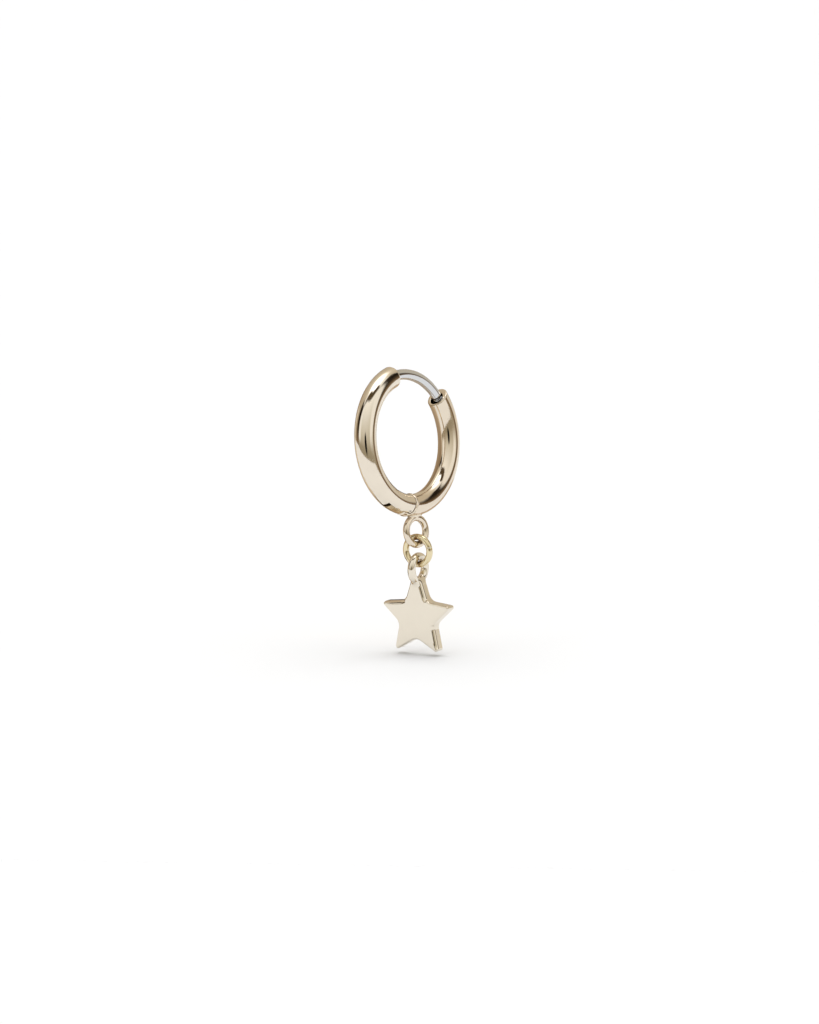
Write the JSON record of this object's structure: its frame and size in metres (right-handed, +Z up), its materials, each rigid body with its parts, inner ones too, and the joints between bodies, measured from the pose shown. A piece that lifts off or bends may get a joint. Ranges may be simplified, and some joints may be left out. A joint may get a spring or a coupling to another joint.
{
  "type": "hinged hoop earring with star charm",
  "caption": "Hinged tube hoop earring with a steel ear post and a thick flat star charm that hangs from a jump ring.",
  "frame": {"origin": "on the ear post's middle line, where the earlobe carries the earring", "axes": "+Z up as it hangs, +X along the hoop's plane towards the mouth, -Y the side that the picture shows"},
  "size_m": [0.0138, 0.0069, 0.0256],
  "materials": {
    "pale_gold": "polished pale champagne gold plating",
    "charm_gold": "polished pale champagne gold plating",
    "yellow_gold": "polished yellow gold plating",
    "post_steel": "polished steel"
  },
  "bodies": {
    "front": {"front_half": "pale_gold", "ear_post": "post_steel", "hinge_leaf": "pale_gold", "hinge_pin": "post_steel"},
    "back": {"back_half": "pale_gold"},
    "ring": {"jump_ring": "yellow_gold"},
    "charm": {"star_charm": "charm_gold"}
  },
  "joints": [
    {"name": "hoop_hinge", "type": "hinge", "parent": "front", "child": "back", "pos_m": [-0.00461, -0.00153, -0.01115], "axis": [0, 0.9907, -0.1357], "range_deg": [0, 40]},
    {"name": "ring_swing", "type": "hinge", "parent": "back", "child": "ring", "pos_m": [-0.00327, -0.00198, -0.01447], "axis": [0.9945, -0.1036, 0.0142], "range_deg": [-60, 60]},
    {"name": "charm_swing", "type": "hinge", "parent": "ring", "child": "charm", "pos_m": [-0.00327, -0.00198, -0.01628], "axis": [-0.1063, 0.9943, 0], "range_deg": [-60, 60]}
  ]
}
